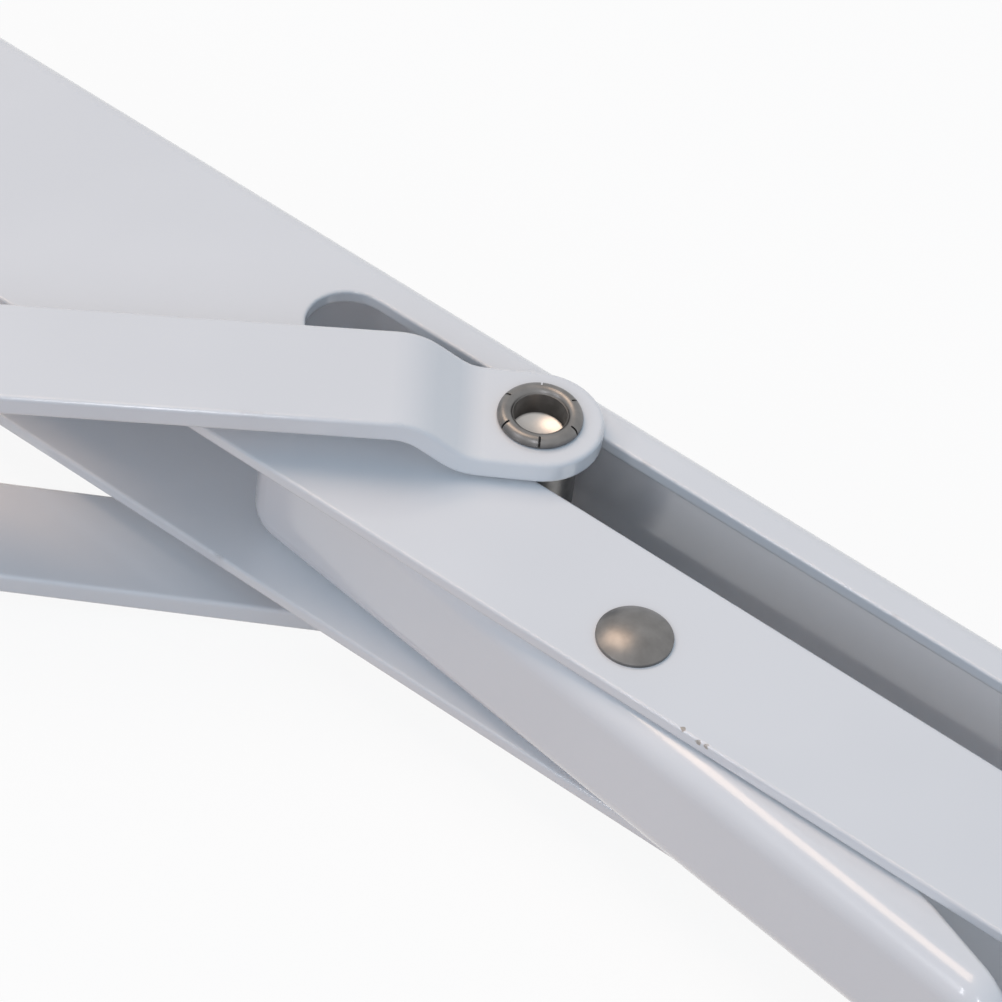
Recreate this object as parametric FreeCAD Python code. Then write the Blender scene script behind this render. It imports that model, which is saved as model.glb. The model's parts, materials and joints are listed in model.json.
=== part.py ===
import FreeCAD, Part
import math
import os

# Drop leaf table bracket: a wall plate, an arm that folds down from it, and a
# two-bar strut whose pin slides in the arm's slots. A sprung lever under the
# arm has a hook that rises behind the pin. The bracket lies on its right side,
# opened: X runs out from the wall along the arm, Y is towards the table top,
# and Z is across the width, with the left side up. The origin is on the wall
# plate's back face, level with the hinge axis, in the middle of the width.

# Arm, a folded channel that is open underneath
ARM_WIDTH = 18.0
ARM_SHEET = 1.5
ARM_BEND_RADIUS = 2.2
ARM_BELOW_SLOT = 21.0
ARM_ABOVE_SLOT = 9.3
ARM_REACH = 190.0
ARM_HEEL = 9.0
ARM_NOSE_RADIUS = 12.0
ARM_EDGE_RADIUS = 0.28

# Slots in the arm's side walls
SLOT_HEIGHT = 9.1
SLOT_BEHIND_PIN = 23.35
SLOT_END_PLAY = 0.15

# Strut, two flat bars with a joggle next to the pin
STRUT_LENGTH = 103.0
STRUT_ANGLE = 34.8
BAR_WIDTH = 12.9
BAR_THICKNESS = 2.5
TONGUE_GAP = 0.42
JOGGLE_OFFSET = 3.9
JOGGLE_START = 6.9
JOGGLE_LENGTH = 5.4
JOGGLE_RADIUS = 4.0
BAR_STRAIGHT_FROM = 67.0
BAR_EDGE_RADIUS = 0.45

# Wall plate, a folded channel that the arm folds into
PLATE_SHEET = 1.5
PLATE_BEND_RADIUS = 2.2
PLATE_SIDE_GAP = 0.3
PLATE_BASE_GAP = 0.5
PLATE_ABOVE_HINGE = 9.0
PLATE_BELOW_HINGE = 91.0
PLATE_EAR = 8.0
PLATE_FOOT_HEIGHT = 9.0
PLATE_FOOT_RADIUS = 4.0
PLATE_BAR_GAP = 0.2

# Screw holes
SCREW_HOLE_RADIUS = 2.5
ARM_SCREW_INNER = 20.0
ARM_SCREW_MIDDLE = 45.0
ARM_SCREW_FROM_NOSE = 12.0
PLATE_SCREW_FIRST = 16.0
PLATE_SCREW_SPACING = 33.0
PLATE_SCREW_COUNT = 3

# Pin through the slots, a half-hollow rivet in a sleeve
PIN_RADIUS = 3.2
PIN_BORE_RADIUS = 2.7
PIN_BORE_FLOOR = 2.0
PIN_BORE_DISH = 0.6
PIN_LIP_RADIUS = 4.28
PIN_LIP_HEIGHT = 1.0
PIN_SPLITS = 6
PIN_SPLIT_WIDTH = 0.22
PIN_FIRST_SPLIT = 5.0
PIN_HEAD_RADIUS = 5.0
PIN_HEAD_HEIGHT = 1.7
SLEEVE_RADIUS = 4.4

# Release lever, a shallow trough with a hook on each side wall
LEVER_SIDE_GAP = 0.35
LEVER_SHEET = 1.2
LEVER_PIVOT_AHEAD = 22.65
LEVER_PIVOT_BELOW = 14.67
LEVER_TILT = 7.07
LEVER_BELOW_PIVOT = 7.4
LEVER_ABOVE_PIVOT = 3.0
LEVER_TAIL = 45.0
LEVER_NOSE = 53.1
LEVER_TAPER_FROM = 18.5
LEVER_TAPER_TO = 46.6
LEVER_TAPER_LEVEL = -3.16
LEVER_TAIL_RADIUS = 4.0
LEVER_NOSE_RADIUS = 5.5
LEVER_TOP_RADIUS = 1.5
LEVER_ROUND = 3.0
HOOK_FACE = 19.7
HOOK_BACK = 8.4
HOOK_CREST = 2.6
HOOK_TIP_RADIUS = 0.5
HOOK_CLEARANCE = 0.5

# Rivets with domed heads
LEVER_RIVET_RADIUS = 2.0
LEVER_RIVET_HEAD = 3.8
LEVER_RIVET_DOME = 1.6
HINGE_RIVET_RADIUS = 3.0
HINGE_RIVET_HEAD = 4.6
HINGE_RIVET_DOME = 1.8
STRUT_RIVET_RADIUS = 2.6
STRUT_RIVET_HEAD = 4.4
STRUT_RIVET_DOME = 1.5
RIVET_RIM = 0.35
SPACER_WALL = 1.2
RUNNING_GAP = 0.08
SEAT_GAP = 0.04
HEAD_GAP = 0.1

# Lever spring, a torsion coil on the lever's rivet
WIRE_RADIUS = 0.4
COIL_RADIUS = 3.1
COIL_PITCH = 0.95
COIL_TURNS = 4
ANCHOR_AHEAD = 9.8
ANCHOR_ABOVE = 6.9
ANCHOR_HOLE_GAP = 0.2
FOOT_AHEAD = 14.0

# Places that follow from the driving dimensions
ARM_SIDE = ARM_WIDTH / 2
ARM_INSIDE = ARM_SIDE - ARM_SHEET
SLOT_RADIUS = SLOT_HEIGHT / 2
HINGE_X = ARM_BELOW_SLOT + PLATE_BASE_GAP + PLATE_SHEET
STRUT_TURN = math.radians(STRUT_ANGLE)
PIN_X = HINGE_X + STRUT_LENGTH * math.cos(STRUT_TURN)
PIVOT_DROP = STRUT_LENGTH * math.sin(STRUT_TURN)
PIN_TRAVEL = PIVOT_DROP + STRUT_LENGTH - (PIN_X - HINGE_X)
PLATE_INSIDE = ARM_SIDE + PLATE_SIDE_GAP
PLATE_SIDE = PLATE_INSIDE + PLATE_SHEET
TONGUE_INSIDE = ARM_SIDE + TONGUE_GAP
TONGUE_FACE = TONGUE_INSIDE + BAR_THICKNESS
BAR_INSIDE = PLATE_SIDE + PLATE_BAR_GAP
BAR_FACE = BAR_INSIDE + BAR_THICKNESS
LEVER_X = PIN_X + LEVER_PIVOT_AHEAD
LEVER_Y = -LEVER_PIVOT_BELOW
LEVER_SIDE = ARM_INSIDE - LEVER_SIDE_GAP
LEVER_TURN = math.radians(LEVER_TILT)
# The hook's crest stands HOOK_CLEARANCE below the path of the pin's sleeve
HOOK_LEVEL = LEVER_PIVOT_BELOW - SLEEVE_RADIUS - HOOK_CLEARANCE
HOOK_TOP = (HOOK_LEVEL - HOOK_FACE * math.sin(LEVER_TURN)) / math.cos(LEVER_TURN)
X_AXIS = FreeCAD.Vector(1, 0, 0)
Y_AXIS = FreeCAD.Vector(0, 1, 0)
Z_AXIS = FreeCAD.Vector(0, 0, 1)
# Distance under which two places count as the same
SAME = 1e-5


def rounded_wire(corners, place):
    """Closed outline through (a, b, radius) corners, with place(a, b) giving the point."""
    starts, arcs = [], []
    count = len(corners)
    for i, (a, b, radius) in enumerate(corners):
        here = FreeCAD.Vector(a, b, 0)
        before = FreeCAD.Vector(*corners[i - 1][:2], 0) - here
        after = FreeCAD.Vector(*corners[(i + 1) % count][:2], 0) - here
        if radius == 0:
            starts.append((here, here))
            arcs.append(None)
            continue
        half = before.getAngle(after) / 2
        before.normalize()
        after.normalize()
        reach = radius / math.tan(half)
        bisector = (before + after).normalize()
        middle = here + bisector * (radius / math.sin(half) - radius)
        starts.append((here + before * reach, here + after * reach))
        arcs.append(middle)
    edges = []
    for i in range(count):
        entry, leave = starts[i]
        if arcs[i] is not None:
            points = [place(p.x, p.y) for p in (entry, arcs[i], leave)]
            edges.append(Part.Arc(*points).toShape())
        following = starts[(i + 1) % count][0]
        if (following - leave).Length > SAME:
            ends = [place(p.x, p.y) for p in (leave, following)]
            edges.append(Part.LineSegment(*ends).toShape())
    return Part.Wire(Part.__sortEdges__(edges))


def side_prism(corners, half_width):
    """Solid from an outline in the XY plane, as wide on both sides of the middle."""
    wire = rounded_wire(corners, lambda a, b: FreeCAD.Vector(a, b, -half_width))
    return Part.Face(wire).extrude(Z_AXIS * (2 * half_width))


def cross_rod(radius, x, y, low, high):
    """Round rod along Z."""
    return Part.makeCylinder(radius, high - low, FreeCAD.Vector(x, y, low))


def stadium(x0, y0, x1, y1, radius, low, high):
    """Long hole or bar outline with round ends, along Z."""
    along = FreeCAD.Vector(x1 - x0, y1 - y0, 0)
    body = Part.makeBox(along.Length, 2 * radius, high - low, FreeCAD.Vector(0, -radius, low))
    body.rotate(FreeCAD.Vector(), Z_AXIS, math.degrees(math.atan2(along.y, along.x)))
    body.translate(FreeCAD.Vector(x0, y0, 0))
    ends = [cross_rod(radius, x, y, low, high) for x, y in ((x0, y0), (x1, y1))]
    return body.fuse(ends).removeSplitter()


def dome(radius, height, x, y, seat, side):
    """Domed rivet head with a straight rim, standing on the plane at seat, towards side."""
    rise = height - RIVET_RIM
    sphere_radius = (radius ** 2 + rise ** 2) / (2 * rise)
    centre = FreeCAD.Vector(x, y, seat + side * (height - sphere_radius))
    ball = Part.makeSphere(sphere_radius, centre)
    low, high = sorted((seat, seat + side * height))
    return ball.common(cross_rod(radius, x, y, low, high))


def mirrored(shape):
    """The same piece on the right side."""
    return shape.mirror(FreeCAD.Vector(), Z_AXIS)


def edges_where(shape, keep):
    """Edges whose middle point passes the test."""
    chosen = []
    for edge in shape.Edges:
        middle = edge.valueAt((edge.FirstParameter + edge.LastParameter) / 2)
        if keep(edge, middle):
            chosen.append(edge)
    return chosen


def channel_outline(top, bottom, outside, sheet, bend, place):
    """Outline of a folded channel, with its web at top and its free edges at bottom."""
    inside = outside - sheet
    inner = top - math.copysign(sheet, top - bottom)
    return rounded_wire(
        [
            (bottom, outside, 0),
            (top, outside, bend),
            (top, -outside, bend),
            (bottom, -outside, 0),
            (bottom, -inside, 0),
            (inner, -inside, bend - sheet),
            (inner, inside, bend - sheet),
            (bottom, inside, 0),
        ],
        place,
    )


def arm_channel():
    heel, nose = HINGE_X - ARM_HEEL, HINGE_X + ARM_REACH
    wire = channel_outline(
        ARM_ABOVE_SLOT,
        -ARM_BELOW_SLOT,
        ARM_SIDE,
        ARM_SHEET,
        ARM_BEND_RADIUS,
        lambda a, b: FreeCAD.Vector(heel, a, b),
    )
    channel = Part.Face(wire).extrude(X_AXIS * (nose - heel))
    profile = side_prism(
        [
            (heel, ARM_ABOVE_SLOT, 0),
            (nose, ARM_ABOVE_SLOT, 0),
            (nose, -ARM_BELOW_SLOT, ARM_NOSE_RADIUS),
            (heel, -ARM_BELOW_SLOT, ARM_HEEL),
        ],
        ARM_SIDE,
    )
    arm = channel.common(profile)
    slot_start, slot_end = PIN_X - SLOT_BEHIND_PIN, PIN_X + PIN_TRAVEL + SLOT_END_PLAY
    arm = arm.cut(stadium(slot_start, 0, slot_end, 0, SLOT_RADIUS, -ARM_SIDE, ARM_SIDE))
    arm = arm.cut(cross_rod(HINGE_RIVET_RADIUS + RUNNING_GAP, HINGE_X, 0, -ARM_SIDE, ARM_SIDE))
    arm = arm.cut(cross_rod(LEVER_RIVET_RADIUS + SEAT_GAP, LEVER_X, LEVER_Y, -ARM_SIDE, ARM_SIDE))
    anchor = (LEVER_X + ANCHOR_AHEAD, LEVER_Y + ANCHOR_ABOVE)
    arm = arm.cut(cross_rod(WIRE_RADIUS + ANCHOR_HOLE_GAP, *anchor, -ARM_SIDE, 0))
    for reach in (ARM_SCREW_INNER, ARM_SCREW_MIDDLE, ARM_REACH - ARM_SCREW_FROM_NOSE):
        foot = FreeCAD.Vector(HINGE_X + reach, ARM_ABOVE_SLOT - ARM_SHEET, 0)
        arm = arm.cut(Part.makeCylinder(SCREW_HOLE_RADIUS, ARM_SHEET, foot, Y_AXIS))

    def on_free_edge(edge, middle):
        return abs(middle.y + ARM_BELOW_SLOT) < SAME and edge.Length > ARM_REACH / 2

    def on_slot_rim(edge, middle):
        return abs(abs(middle.z) - ARM_SIDE) < SAME and abs(abs(middle.y) - SLOT_RADIUS) < SAME

    return arm.makeFillet(ARM_EDGE_RADIUS, edges_where(arm, on_free_edge) + edges_where(arm, on_slot_rim))


def wall_plate():
    front = HINGE_X + PLATE_EAR
    wire = channel_outline(
        0,
        front,
        PLATE_SIDE,
        PLATE_SHEET,
        PLATE_BEND_RADIUS,
        lambda a, b: FreeCAD.Vector(a, -PLATE_BELOW_HINGE, b),
    )
    plate = Part.Face(wire).extrude(Y_AXIS * (PLATE_BELOW_HINGE + PLATE_ABOVE_HINGE))
    profile = side_prism(
        [
            (0, PLATE_ABOVE_HINGE, 0),
            (front, PLATE_ABOVE_HINGE, PLATE_EAR),
            (front, -PIVOT_DROP - PLATE_EAR, PLATE_EAR),
            (PLATE_FOOT_HEIGHT, -PLATE_BELOW_HINGE, PLATE_FOOT_RADIUS),
            (0, -PLATE_BELOW_HINGE, 0),
        ],
        PLATE_SIDE,
    )
    plate = plate.common(profile)
    for radius, y in ((HINGE_RIVET_RADIUS, 0), (STRUT_RIVET_RADIUS, -PIVOT_DROP)):
        plate = plate.cut(cross_rod(radius + SEAT_GAP, HINGE_X, y, -PLATE_SIDE, PLATE_SIDE))
    for i in range(PLATE_SCREW_COUNT):
        foot = FreeCAD.Vector(0, -PLATE_SCREW_FIRST - i * PLATE_SCREW_SPACING, 0)
        plate = plate.cut(Part.makeCylinder(SCREW_HOLE_RADIUS, PLATE_SHEET, foot, X_AXIS))
    return plate


def strut_bar():
    """Left bar: flat tongue on the pin, joggle outwards, then a slow run in to the wall plate."""
    end = BAR_WIDTH / 2
    stand_off = TONGUE_FACE + JOGGLE_OFFSET
    line = [
        (-end, TONGUE_FACE),
        (JOGGLE_START, TONGUE_FACE),
        (JOGGLE_START + JOGGLE_LENGTH, stand_off),
        (BAR_STRAIGHT_FROM, BAR_FACE),
        (STRUT_LENGTH + end, BAR_FACE),
    ]
    # The inner face runs parallel to the outer one, so each bend shifts along the bar
    inner = []
    for i, (u, z) in enumerate(line):
        slopes = [
            math.atan2(line[j + 1][1] - line[j][1], line[j + 1][0] - line[j][0])
            for j in (i - 1, i)
            if 0 <= j < len(line) - 1
        ]
        lean = sum(slopes) / len(slopes)
        half_turn = (slopes[-1] - slopes[0]) / 2
        shift = BAR_THICKNESS / math.cos(half_turn)
        inner.append((u + shift * math.sin(lean), z - shift * math.cos(lean)))
    bends = [0, JOGGLE_RADIUS + BAR_THICKNESS, JOGGLE_RADIUS, JOGGLE_RADIUS, 0]
    outer_bends = [0, JOGGLE_RADIUS, JOGGLE_RADIUS + BAR_THICKNESS, JOGGLE_RADIUS, 0]
    corners = [(u, z, r) for (u, z), r in zip(line, outer_bends)]
    corners += [(u, z, r) for (u, z), r in reversed(list(zip(inner, bends)))]
    wire = rounded_wire(corners, lambda a, b: FreeCAD.Vector(a, -end, b))
    strip = Part.Face(wire).extrude(Y_AXIS * BAR_WIDTH)
    bar = strip.common(stadium(0, 0, STRUT_LENGTH, 0, end, 0, stand_off))
    bar = bar.cut(cross_rod(PIN_RADIUS + RUNNING_GAP, 0, 0, 0, stand_off))
    bar = bar.cut(cross_rod(STRUT_RIVET_RADIUS + SEAT_GAP, STRUT_LENGTH, 0, 0, stand_off))

    def on_outline(edge, middle):
        beyond = middle.x - min(max(middle.x, 0), STRUT_LENGTH)
        along = edge.Length > BAR_THICKNESS + JOGGLE_OFFSET
        return along and abs(math.hypot(beyond, middle.y) - end) < SAME

    bar = bar.makeFillet(BAR_EDGE_RADIUS, edges_where(bar, on_outline))
    bar.rotate(FreeCAD.Vector(), Z_AXIS, 180 + STRUT_ANGLE)
    bar.translate(FreeCAD.Vector(PIN_X, 0, 0))
    return bar


def slide_pin():
    """Half-hollow rivet: domed head on the right side, rolled lip and blind bore on the left."""
    seat = TONGUE_FACE + HEAD_GAP
    shank = cross_rod(PIN_RADIUS, PIN_X, 0, -seat, seat + PIN_LIP_HEIGHT / 2)
    lip_radius = (PIN_LIP_RADIUS - PIN_BORE_RADIUS) / 2
    ring = Part.makeTorus(PIN_BORE_RADIUS + lip_radius, lip_radius)
    ring.translate(FreeCAD.Vector(PIN_X, 0, seat + PIN_LIP_HEIGHT - lip_radius))
    ring = ring.common(cross_rod(PIN_HEAD_RADIUS, PIN_X, 0, seat, seat + 2 * PIN_LIP_HEIGHT))
    pin = shank.fuse([ring, dome(PIN_HEAD_RADIUS, PIN_HEAD_HEIGHT, PIN_X, 0, -seat, -1)])
    floor = TONGUE_FACE - PIN_BORE_FLOOR
    dish_radius = (PIN_BORE_RADIUS ** 2 + PIN_BORE_DISH ** 2) / (2 * PIN_BORE_DISH)
    dish = Part.makeSphere(dish_radius, FreeCAD.Vector(PIN_X, 0, floor - PIN_BORE_DISH + dish_radius))
    dish = dish.common(cross_rod(PIN_BORE_RADIUS, PIN_X, 0, floor - PIN_BORE_DISH, floor))
    pin = pin.cut(cross_rod(PIN_BORE_RADIUS, PIN_X, 0, floor, seat + PIN_LIP_HEIGHT / 2)).cut(dish)
    # The lip splits where it was rolled over
    for i in range(PIN_SPLITS):
        split = Part.makeBox(PIN_LIP_RADIUS, PIN_SPLIT_WIDTH, PIN_LIP_HEIGHT)
        split.translate(FreeCAD.Vector(PIN_BORE_RADIUS + lip_radius, -PIN_SPLIT_WIDTH / 2, seat + HEAD_GAP))
        split.rotate(FreeCAD.Vector(), Z_AXIS, PIN_FIRST_SPLIT + 360 / PIN_SPLITS * i)
        split.translate(FreeCAD.Vector(PIN_X, 0, 0))
        pin = pin.cut(split)
    return pin.removeSplitter()


def sleeve(radius, bore, x, y, half_length):
    outside = cross_rod(radius, x, y, -half_length, half_length)
    return outside.cut(cross_rod(bore, x, y, -half_length, half_length))


def lever_skin(inset, lift):
    """One skin of the lever's trough: the outside with no inset, or the hollow inside it."""
    bottom, side = -LEVER_BELOW_PIVOT + inset, LEVER_SIDE - inset
    tail, nose = -LEVER_TAIL + inset, LEVER_NOSE - inset
    taper = (LEVER_TAPER_LEVEL - LEVER_ABOVE_PIVOT) / (LEVER_TAPER_TO - LEVER_TAPER_FROM)
    top = LEVER_ABOVE_PIVOT + lift
    corners = [
        (tail, bottom, 0),
        (nose, bottom, 0),
        (nose, top + taper * (nose - LEVER_TAPER_FROM), 0),
        (LEVER_TAPER_FROM, top, 0),
    ]
    if lift == 0:
        corners += [
            (-HOOK_BACK, top, LEVER_TOP_RADIUS),
            (-HOOK_FACE + HOOK_CREST, HOOK_TOP, HOOK_TIP_RADIUS),
            (-HOOK_FACE, HOOK_TOP, HOOK_TIP_RADIUS),
            (-HOOK_FACE, top, HOOK_TIP_RADIUS),
        ]
    corners.append((tail, top, 0))
    plan = rounded_wire(
        [
            (tail, -side, LEVER_TAIL_RADIUS - inset),
            (nose, -side, LEVER_NOSE_RADIUS - inset),
            (nose, side, LEVER_NOSE_RADIUS - inset),
            (tail, side, LEVER_TAIL_RADIUS - inset),
        ],
        lambda a, b: FreeCAD.Vector(a, bottom, b),
    )
    column = Part.Face(plan).extrude(Y_AXIS * (HOOK_TOP + lift - bottom))
    skin = side_prism(corners, side).common(column)
    floor_rim = edges_where(skin, lambda edge, middle: abs(middle.y - bottom) < SAME)
    return skin.makeFillet(LEVER_ROUND - inset, floor_rim)


def release_lever():
    lever = lever_skin(0, 0).cut(lever_skin(LEVER_SHEET, LEVER_NOSE))
    lever = lever.cut(cross_rod(LEVER_RIVET_RADIUS + RUNNING_GAP, 0, 0, -LEVER_SIDE, LEVER_SIDE))
    lever.rotate(FreeCAD.Vector(), Z_AXIS, -LEVER_TILT)
    lever.translate(FreeCAD.Vector(LEVER_X, LEVER_Y, 0))
    return lever


def through_rivet(radius, head, height, x, y, seat):
    """Rivet with the same domed head on both sides."""
    shank = cross_rod(radius, x, y, -seat, seat)
    return shank.fuse([dome(head, height, x, y, side * seat, side) for side in (1, -1)])


def strut_rivet():
    """Head and shank in the left bar's end."""
    shank = cross_rod(STRUT_RIVET_RADIUS, HINGE_X, -PIVOT_DROP, BAR_INSIDE, BAR_FACE)
    return shank.fuse(dome(STRUT_RIVET_HEAD, STRUT_RIVET_DOME, HINGE_X, -PIVOT_DROP, BAR_FACE, 1))


def strut_rivet_tail():
    """Flush end of the same rivet, in the wall plate's left wall."""
    return cross_rod(STRUT_RIVET_RADIUS, HINGE_X, -PIVOT_DROP, PLATE_INSIDE, PLATE_SIDE)


def wire_leg(start, end):
    """Straight length of spring wire with a rounded end."""
    along = end - start
    leg = Part.makeCylinder(WIRE_RADIUS, along.Length, start, along)
    return leg.fuse(Part.makeSphere(WIRE_RADIUS, end))


def tangent_angle(x, y, turn):
    """Angle on the coil from which a straight leg runs to the point (x, y)."""
    return math.atan2(y, x) + turn * math.acos(COIL_RADIUS / math.hypot(x, y))


def lever_spring():
    """Torsion coil: one leg presses on the lever's floor, the other hooks into the arm's right wall."""
    level = -LEVER_BELOW_PIVOT + LEVER_SHEET + WIRE_RADIUS + HEAD_GAP
    foot = (
        FOOT_AHEAD * math.cos(LEVER_TURN) + level * math.sin(LEVER_TURN),
        -FOOT_AHEAD * math.sin(LEVER_TURN) + level * math.cos(LEVER_TURN),
    )
    anchor = (ANCHOR_AHEAD, ANCHOR_ABOVE)
    first = tangent_angle(*foot, 1)
    last = tangent_angle(*anchor, -1) + 2 * math.pi * COIL_TURNS
    height = COIL_PITCH * (last - first) / (2 * math.pi)
    helix = Part.makeHelix(COIL_PITCH, height, COIL_RADIUS)
    section = Part.Circle(X_AXIS * COIL_RADIUS, Y_AXIS, WIRE_RADIUS).toShape()
    coil = Part.Wire(helix).makePipeShell([Part.Wire(section)], True, True)
    coil.rotate(FreeCAD.Vector(), Z_AXIS, math.degrees(first))
    coil.translate(FreeCAD.Vector(0, 0, -height / 2))

    def on_coil(angle, z):
        return FreeCAD.Vector(COIL_RADIUS * math.cos(angle), COIL_RADIUS * math.sin(angle), z)

    low, high = on_coil(first, -height / 2), on_coil(last, height / 2)
    corner = FreeCAD.Vector(*anchor, height / 2)
    pieces = [
        Part.makeSphere(WIRE_RADIUS, low),
        Part.makeSphere(WIRE_RADIUS, high),
        wire_leg(low, FreeCAD.Vector(*foot, -height / 2)),
        wire_leg(high, corner),
        wire_leg(corner, FreeCAD.Vector(*anchor, ARM_SIDE - ARM_SHEET / 2)),
    ]
    spring = mirrored(coil.fuse(pieces))
    spring.translate(FreeCAD.Vector(LEVER_X, LEVER_Y, 0))
    return spring


def build():
    bar, rivet, tail = strut_bar(), strut_rivet(), strut_rivet_tail()
    sleeve_end = TONGUE_INSIDE - HEAD_GAP
    hinge_bore = HINGE_RIVET_RADIUS + RUNNING_GAP
    return {
        "arm_channel": arm_channel(),
        "wall_plate": wall_plate(),
        "strut_bar_left": bar,
        "strut_bar_right": mirrored(bar),
        "slide_pin": slide_pin(),
        "slide_sleeve": sleeve(SLEEVE_RADIUS, PIN_RADIUS + SEAT_GAP, PIN_X, 0, sleeve_end),
        "release_lever": release_lever(),
        "lever_rivet": through_rivet(
            LEVER_RIVET_RADIUS, LEVER_RIVET_HEAD, LEVER_RIVET_DOME, LEVER_X, LEVER_Y, ARM_SIDE
        ),
        "lever_spring": lever_spring(),
        "hinge_rivet": through_rivet(
            HINGE_RIVET_RADIUS, HINGE_RIVET_HEAD, HINGE_RIVET_DOME, HINGE_X, 0, PLATE_SIDE
        ),
        "hinge_spacer": sleeve(HINGE_RIVET_RADIUS + SPACER_WALL, hinge_bore, HINGE_X, 0, ARM_INSIDE),
        "strut_rivet_left": rivet,
        "strut_rivet_right": mirrored(rivet),
        "strut_rivet_tail_left": tail,
        "strut_rivet_tail_right": mirrored(tail),
    }


os.makedirs("parts", exist_ok=True)
for name, shape in build().items():
    print(name, "solids", len(shape.Solids), "valid", shape.isValid(), "volume", round(shape.Volume, 2))
    shape.Solids[0].exportStep("parts/" + name + ".step")
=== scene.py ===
import json
from collections import namedtuple

import bpy
from mathutils import Matrix, Vector


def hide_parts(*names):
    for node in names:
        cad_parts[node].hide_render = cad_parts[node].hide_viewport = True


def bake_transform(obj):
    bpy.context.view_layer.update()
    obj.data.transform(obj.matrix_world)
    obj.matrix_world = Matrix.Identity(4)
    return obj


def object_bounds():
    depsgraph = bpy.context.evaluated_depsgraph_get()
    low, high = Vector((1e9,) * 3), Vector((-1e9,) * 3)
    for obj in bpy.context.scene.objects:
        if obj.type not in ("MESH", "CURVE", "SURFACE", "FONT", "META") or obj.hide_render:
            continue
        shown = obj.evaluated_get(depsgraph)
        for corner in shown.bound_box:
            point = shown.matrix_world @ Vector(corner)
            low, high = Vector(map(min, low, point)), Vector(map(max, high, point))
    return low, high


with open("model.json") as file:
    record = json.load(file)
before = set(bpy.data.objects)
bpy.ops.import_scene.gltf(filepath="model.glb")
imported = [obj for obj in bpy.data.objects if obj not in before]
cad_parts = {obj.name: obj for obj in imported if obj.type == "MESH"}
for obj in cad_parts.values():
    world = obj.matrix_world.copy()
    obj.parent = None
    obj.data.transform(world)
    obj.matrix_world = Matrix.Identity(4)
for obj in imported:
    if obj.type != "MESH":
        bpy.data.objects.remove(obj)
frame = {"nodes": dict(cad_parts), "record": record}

# Drop leaf table bracket in white powder coat with nickel-plated rivets, lying on its right side.
# Lengths are in metres, in the frame of the solids. Only the camera's sensor and lens are in millimetres.

MM = 0.001
cad_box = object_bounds()
floor_level = cad_box[0].z

Lamp = namedtuple("Lamp", "name place along size power colour")
Grain = namedtuple("Grain", "scale detail")
Metal = namedtuple("Metal", "pale deep gloss")

# Camera, a long lens that looks down on the left side from beyond the arm's end
CAMERA_PLACE = Vector((290.64, -312.20, 384.35)) * MM
CAMERA_RIGHT = Vector((0.79446, 0.59882, 0.10125))
CAMERA_UP = Vector((-0.49588, 0.54336, 0.67740))
SENSOR_WIDTH = 36.0
LENS = 190.21

# Light: a cool studio, a warm lamp overhead to the left, and two strip lamps that pick out the edges
STUDIO_COLOUR = (0.53, 0.71, 0.89, 1.0)
STUDIO_STRENGTH = 0.56
LAMP_TARGET = Vector((0.11, -0.01, 0.0))
STRIP_COLOUR = (0.93, 0.92, 0.98)
OVERHEAD = Lamp(
    name="overhead",
    place=Vector((-0.34, 0.0, 0.80)),
    along=Vector((0.0, 1.0, 0.0)),
    size=(0.70, 0.42),
    power=3.5,
    colour=(1.0, 0.72, 0.52),
)
LEFT_STRIP = Lamp(
    name="left_strip",
    place=Vector((-0.131, -0.71, 0.518)),
    along=Vector((0.0, 0.2, 0.26)),
    size=(0.05, 0.30),
    power=0.5,
    colour=STRIP_COLOUR,
)
RIGHT_STRIP = Lamp(
    name="right_strip",
    place=Vector((0.434, -0.652, 0.511)),
    along=Vector((-0.138, 0.199, 0.247)),
    size=(0.05, 0.40),
    power=0.85,
    colour=STRIP_COLOUR,
)

# Floor: its tint where it lights the bracket, and how much of it is plain white where it is seen
FLOOR_SIZE = 6.0
FLOOR_COLOUR = (0.63, 0.48, 0.41, 1.0)
FLOOR_ROUGHNESS = 0.9
FLOOR_SPECULAR = 0.1
FLOOR_SEEN_COLOUR = (0.95, 0.95, 0.95, 1.0)
FLOOR_WHITE_SHARE = 0.91

# Rays that see a surface, while all others carry its light on
SEEN_RAYS = ("Is Camera Ray", "Is Glossy Ray", "Is Transmission Ray")
SEEN_COLOUR = (1.0, 1.0, 1.0, 1.0)
SEEN_STRENGTH = 1.0

# Sharp edges: samples of the rounding, and cosines of the turn at which an edge starts and is full
EDGE_SAMPLES = 3
EDGE_TURN = (0.995, 0.80)
WHOLE_SPAN = (0.0, 1.0)

# Powder coat: colours, gloss, and the grain and span of each irregularity
PAINT_PALE = (0.868, 0.876, 0.892, 1.0)
PAINT_DEEP = (0.828, 0.838, 0.856, 1.0)
BARE_STEEL = (0.23, 0.19, 0.16, 1.0)
RUST = (0.46, 0.41, 0.36, 1.0)
PAINT_EDGE_RADIUS = 0.5 * MM
PAINT_SPECULAR = 0.5
PAINT_GLOSS = (0.16, 0.26)
PAINT_GLOSS_GRAIN = Grain(scale=90.0, detail=3.0)
PAINT_GLOSS_SPAN = (0.3, 0.7)
COAT_WEIGHT = 0.8
COAT_ROUGHNESS = 0.11
MOTTLE_GRAIN = Grain(scale=35.0, detail=2.0)
MOTTLE_SPAN = (0.35, 0.65)
PEEL_GRAIN = Grain(scale=420.0, detail=3.0)
PEEL_STRENGTH = 0.05
PEEL_HEIGHT = 0.1 * MM
WEAR_GRAIN = Grain(scale=160.0, detail=4.0)
WEAR_SPAN = (0.66, 0.72)
SPECK_SCALE = 160.0
SPECK_CHOICE = (0.955, 0.957)
SPECK_SPAN = (0.035, 0.02)
BARE_ROUGHNESS = 0.6
BARE_STRENGTH = 0.5
BARE_HEIGHT = -0.05 * MM

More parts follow.
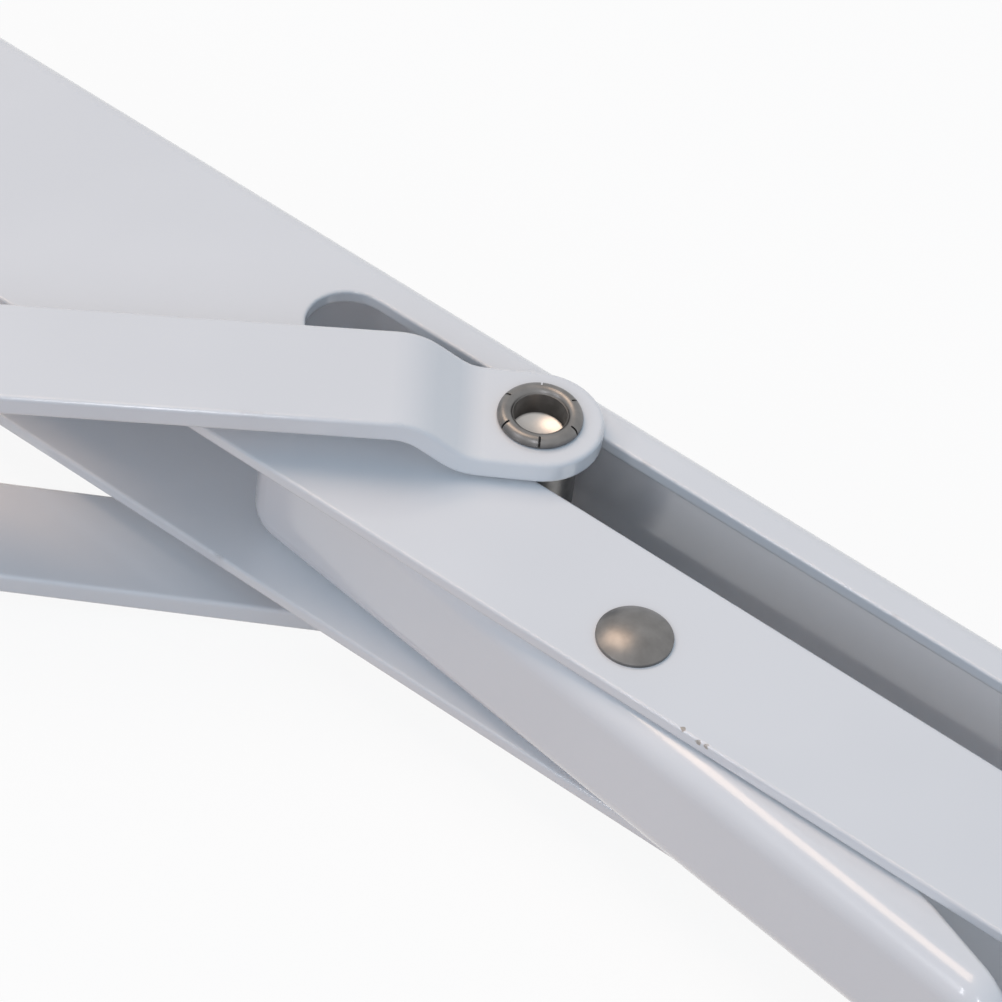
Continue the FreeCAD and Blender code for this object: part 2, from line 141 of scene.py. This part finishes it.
# Chips in the paint along the arm's lower left edge, beside the lever's rivet: place and reach
CHIPS = (
    (Vector((140.4, -20.85, 8.98)) * MM, 0.80 * MM),
    (Vector((142.4, -21.0, 8.80)) * MM, 1.00 * MM),
    (Vector((143.1, -21.0, 8.75)) * MM, 0.80 * MM),
)
CHIP_GRAIN = Grain(scale=1800.0, detail=3.0)
CHIP_RAGGEDNESS = (-0.5, 0.5)
CHIP_SPAN = (0.62, 0.72)

# Plated and oiled steel: colours, gloss, tarnish and fine scratches
NICKEL = Metal(pale=(0.215, 0.212, 0.21, 1.0), deep=(0.165, 0.162, 0.16, 1.0), gloss=(0.29, 0.40))
OILED = Metal(pale=(0.26, 0.255, 0.25, 1.0), deep=(0.17, 0.167, 0.163, 1.0), gloss=(0.29, 0.42))
METAL_EDGE_RADIUS = 0.15 * MM
TARNISH_GRAIN = Grain(scale=600.0, detail=4.0)
TARNISH_SPAN = (0.3, 0.7)
SCRATCH_GRAIN = Grain(scale=2600.0, detail=3.0)
SCRATCH_STRETCH = (1.0, 6.0, 1.0)
SCRATCH_SPAN = (0.3, 0.7)
SCRATCH_STRENGTH = 0.06
SCRATCH_HEIGHT = 0.05 * MM

# Floor of the bore in the pin's rolled end, painted brighter than the rest as a painted reflection of the
# light above: colour, place and reach
BORE_PAINTED_REFLECTION = (0.62, 0.60, 0.58, 1.0)
BORE_FLOOR = Vector((107.58, 0.0, 9.4)) * MM
BORE_REACH = 3.0 * MM
BORE_SPAN = (0.08, 0.16)


class Nodes:
    """Short hand for building one material's nodes."""

    def __init__(self, name):
        self.material = bpy.data.materials.new(name)
        self.material.use_nodes = True
        self.tree = self.material.node_tree
        self.shader = self.tree.nodes["Principled BSDF"]
        self.place = self.add("ShaderNodeTexCoord").outputs["Object"]

    def add(self, kind, **settings):
        node = self.tree.nodes.new(kind)
        for key, value in settings.items():
            setattr(node, key, value)
        return node

    def link(self, source, target):
        self.tree.links.new(source, target)

    def noise(self, grain, place=None):
        node = self.add("ShaderNodeTexNoise")
        node.inputs["Scale"].default_value = grain.scale
        node.inputs["Detail"].default_value = grain.detail
        self.link(place or self.place, node.inputs["Vector"])
        return node.outputs["Fac"]

    def remap(self, value, span, to_span=WHOLE_SPAN):
        node = self.add("ShaderNodeMapRange")
        for key, number in zip(("From Min", "From Max", "To Min", "To Max"), span + to_span):
            node.inputs[key].default_value = number
        self.link(value, node.inputs["Value"])
        return node.outputs["Result"]

    def math(self, operation, first, second):
        node = self.add("ShaderNodeMath", operation=operation)
        for socket, value in zip(node.inputs, (first, second)):
            if isinstance(value, float):
                socket.default_value = value
            else:
                self.link(value, socket)
        return node.outputs["Value"]

    def mix(self, share, first, second):
        node = self.add("ShaderNodeMix", data_type="RGBA")
        self.link(share, node.inputs["Factor"])
        for socket, value in ((node.inputs["A"], first), (node.inputs["B"], second)):
            if isinstance(value, tuple):
                socket.default_value = value
            else:
                self.link(value, socket)
        return node.outputs["Result"]

    def bump(self, height, strength, distance, normal):
        node = self.add("ShaderNodeBump")
        node.inputs["Strength"].default_value = strength
        node.inputs["Distance"].default_value = distance
        self.link(height, node.inputs["Height"])
        self.link(normal, node.inputs["Normal"])
        return node.outputs["Normal"]

    def soft_edges(self, radius):
        """Normals rounded over the sharp edges, and a mask that is 1 on them."""
        bevel = self.add("ShaderNodeBevel", samples=EDGE_SAMPLES)
        bevel.inputs["Radius"].default_value = radius
        rounded = bevel.outputs["Normal"]
        plain = self.add("ShaderNodeNewGeometry").outputs["Normal"]
        dot = self.add("ShaderNodeVectorMath", operation="DOT_PRODUCT")
        self.link(rounded, dot.inputs[0])
        self.link(plain, dot.inputs[1])
        return rounded, self.remap(dot.outputs["Value"], EDGE_TURN)

    def spot(self, centre, reach):
        """Mask that falls from 1 at a place to 0 at its reach."""
        away = self.add("ShaderNodeVectorMath", operation="DISTANCE")
        away.inputs[1].default_value = centre
        self.link(self.place, away.inputs[0])
        return self.remap(away.outputs["Value"], (reach, 0.0))

    def colour(self, value):
        self.link(value, self.shader.inputs["Base Color"])

    def roughness(self, value):
        self.link(value, self.shader.inputs["Roughness"])

    def normal(self, value):
        self.link(value, self.shader.inputs["Normal"])


def chipped(nodes):
    """Mask of the ragged chips in the paint."""
    ragged = nodes.remap(nodes.noise(CHIP_GRAIN), WHOLE_SPAN, CHIP_RAGGEDNESS)
    chip = None
    for place, reach in CHIPS:
        patch = nodes.remap(nodes.math("ADD", nodes.spot(place, reach), ragged), CHIP_SPAN)
        chip = patch if chip is None else nodes.math("MAXIMUM", chip, patch)
    return chip


def specked(nodes):
    """Mask of the few dark specks in the paint."""
    cells = nodes.add("ShaderNodeTexVoronoi")
    cells.inputs["Scale"].default_value = SPECK_SCALE
    nodes.link(nodes.place, cells.inputs["Vector"])
    chosen = nodes.remap(cells.outputs["Color"], SPECK_CHOICE)
    return nodes.math("MULTIPLY", chosen, nodes.remap(cells.outputs["Distance"], SPECK_SPAN))


def powder_coat():
    """Glossy white powder coat: faint orange peel, specks, chips, and thin wear on the sharp edges."""
    nodes = Nodes("white_enamel")
    rounded, edge = nodes.soft_edges(PAINT_EDGE_RADIUS)
    worn = nodes.math("MULTIPLY", edge, nodes.remap(nodes.noise(WEAR_GRAIN), WEAR_SPAN))
    chip = chipped(nodes)
    speck = specked(nodes)
    paint = nodes.mix(nodes.remap(nodes.noise(MOTTLE_GRAIN), MOTTLE_SPAN), PAINT_PALE, PAINT_DEEP)
    paint = nodes.mix(worn, paint, BARE_STEEL)
    paint = nodes.mix(chip, paint, RUST)
    paint = nodes.mix(speck, paint, BARE_STEEL)
    nodes.colour(paint)
    bare = nodes.math("MAXIMUM", nodes.math("MAXIMUM", worn, chip), speck)
    gloss = nodes.remap(nodes.noise(PAINT_GLOSS_GRAIN), PAINT_GLOSS_SPAN, PAINT_GLOSS)
    nodes.roughness(nodes.math("MAXIMUM", gloss, nodes.math("MULTIPLY", bare, BARE_ROUGHNESS)))
    peel = nodes.bump(nodes.noise(PEEL_GRAIN), PEEL_STRENGTH, PEEL_HEIGHT, rounded)
    nodes.normal(nodes.bump(bare, BARE_STRENGTH, BARE_HEIGHT, peel))
    nodes.shader.inputs["Specular IOR Level"].default_value = PAINT_SPECULAR
    nodes.shader.inputs["Coat Weight"].default_value = COAT_WEIGHT
    nodes.shader.inputs["Coat Roughness"].default_value = COAT_ROUGHNESS
    return nodes.material


def steel(name, metal):
    """Bare or plated steel: mottled sheen, fine scratches, edges rubbed brighter, and a painted reflection
    that lightens the floor of the pin's bore.
    """
    nodes = Nodes(name)
    rounded, edge = nodes.soft_edges(METAL_EDGE_RADIUS)
    tarnish = nodes.remap(nodes.noise(TARNISH_GRAIN), TARNISH_SPAN)
    stretch = nodes.add("ShaderNodeMapping")
    stretch.inputs["Scale"].default_value = SCRATCH_STRETCH
    nodes.link(nodes.place, stretch.inputs["Vector"])
    scratch = nodes.noise(SCRATCH_GRAIN, stretch.outputs["Vector"])
    sheen = nodes.mix(nodes.math("MAXIMUM", tarnish, edge), metal.deep, metal.pale)
    # Painted reflection: the bore's floor gets a bright colour that stands in for the light above
    # reflected there
    bore_reflection_mask = nodes.remap(nodes.spot(BORE_FLOOR, BORE_REACH), BORE_SPAN)
    nodes.colour(nodes.mix(bore_reflection_mask, sheen, BORE_PAINTED_REFLECTION))
    nodes.roughness(nodes.remap(scratch, SCRATCH_SPAN, metal.gloss))
    nodes.normal(nodes.bump(scratch, SCRATCH_STRENGTH, SCRATCH_HEIGHT, rounded))
    nodes.shader.inputs["Metallic"].default_value = 1.0
    return nodes.material


def split_rays(tree, lighting, seen, output):
    """Gives the rays that see the surface one shader, and the rays that carry its light another."""
    path = tree.nodes.new("ShaderNodeLightPath")
    share = path.outputs[SEEN_RAYS[0]]
    for ray in SEEN_RAYS[1:]:
        either = tree.nodes.new("ShaderNodeMath")
        either.operation = "MAXIMUM"
        tree.links.new(share, either.inputs[0])
        tree.links.new(path.outputs[ray], either.inputs[1])
        share = either.outputs["Value"]
    mix = tree.nodes.new("ShaderNodeMixShader")
    tree.links.new(share, mix.inputs["Fac"])
    tree.links.new(lighting.outputs[0], mix.inputs[1])
    tree.links.new(seen.outputs[0], mix.inputs[2])
    tree.links.new(mix.outputs[0], tree.nodes[output].inputs["Surface"])


def make_world():
    """White where it is seen, and a softer cool studio where it lights."""
    world = bpy.data.worlds.new("studio")
    bpy.context.scene.world = world
    world.use_nodes = True
    tree = world.node_tree
    lighting = tree.nodes["Background"]
    lighting.inputs["Color"].default_value = STUDIO_COLOUR
    lighting.inputs["Strength"].default_value = STUDIO_STRENGTH
    seen = tree.nodes.new("ShaderNodeBackground")
    seen.inputs["Color"].default_value = SEEN_COLOUR
    seen.inputs["Strength"].default_value = SEEN_STRENGTH
    split_rays(tree, lighting, seen, "World Output")


def floor_material():
    """Almost white, with the bracket's shadow, where it is seen, and warm and matt where it lights."""
    material = bpy.data.materials.new("floor")
    material.use_nodes = True
    tree = material.node_tree
    matt = tree.nodes["Principled BSDF"]
    matt.inputs["Base Color"].default_value = FLOOR_COLOUR
    matt.inputs["Roughness"].default_value = FLOOR_ROUGHNESS
    matt.inputs["Specular IOR Level"].default_value = FLOOR_SPECULAR
    white = tree.nodes.new("ShaderNodeEmission")
    white.inputs["Color"].default_value = SEEN_COLOUR
    white.inputs["Strength"].default_value = SEEN_STRENGTH
    shaded = tree.nodes.new("ShaderNodeBsdfDiffuse")
    shaded.inputs["Color"].default_value = FLOOR_SEEN_COLOUR
    seen = tree.nodes.new("ShaderNodeMixShader")
    seen.inputs["Fac"].default_value = FLOOR_WHITE_SHARE
    tree.links.new(shaded.outputs[0], seen.inputs[1])
    tree.links.new(white.outputs[0], seen.inputs[2])
    split_rays(tree, matt, seen, "Material Output")
    return material


def make_floor():
    """Floor at the level of the bracket's lowest point."""
    bpy.ops.mesh.primitive_plane_add(size=FLOOR_SIZE, location=(LAMP_TARGET.x, LAMP_TARGET.y, floor_level))
    floor = bpy.context.object
    floor.name = "floor"
    floor.data.materials.append(floor_material())


def facing(right, up, back, place):
    """Pose of a lamp or camera that stands at a place and looks away from its back."""
    turn = Matrix((right, up, back)).transposed()
    return Matrix.Translation(place) @ turn.to_4x4()


def make_lamp(lamp):
    """Rectangular lamp that faces the bracket, with its height along the given direction."""
    data = bpy.data.lights.new(lamp.name, "AREA")
    data.shape = "RECTANGLE"
    data.size, data.size_y = lamp.size
    data.energy = lamp.power
    data.color = lamp.colour
    body = bpy.data.objects.new(lamp.name, data)
    back = (lamp.place - LAMP_TARGET).normalized()
    across = lamp.along.cross(back).normalized()
    body.matrix_world = facing(across, back.cross(across), back, lamp.place)
    body.visible_camera = False
    bpy.context.scene.collection.objects.link(body)


def make_camera():
    """Camera at the photograph's viewing angle."""
    data = bpy.data.cameras.new("camera")
    data.sensor_width = SENSOR_WIDTH
    data.lens = LENS
    camera = bpy.data.objects.new("camera", data)
    back = CAMERA_RIGHT.cross(CAMERA_UP)
    camera.matrix_world = facing(CAMERA_RIGHT, CAMERA_UP, back, CAMERA_PLACE)
    bpy.context.scene.collection.objects.link(camera)
    bpy.context.scene.camera = camera


def dress(materials):
    """Gives each piece the material of its slot in the record."""
    for piece in frame["record"]["subparts"]:
        node = frame["nodes"][piece["node"]]
        node.data.materials.clear()
        node.data.materials.append(materials[piece["material_slot"]])


def make_spring():
    """Spring as a copy of its imported mesh, standing where the solids put it, with the imported piece
    hidden.
    """
    spring = bpy.data.objects.new("spring_wire", frame["nodes"]["lever_spring"].data.copy())
    bpy.context.scene.collection.objects.link(spring)
    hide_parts("lever_spring")
    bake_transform(spring)


dress({
    "white_enamel": powder_coat(),
    "plated_steel": steel("plated_steel", NICKEL),
    "oiled_steel": steel("oiled_steel", OILED),
})
make_spring()
make_world()
make_floor()
for lamp in (OVERHEAD, LEFT_STRIP, RIGHT_STRIP):
    make_lamp(lamp)
make_camera()
bpy.context.scene.view_settings.view_transform = "Standard"
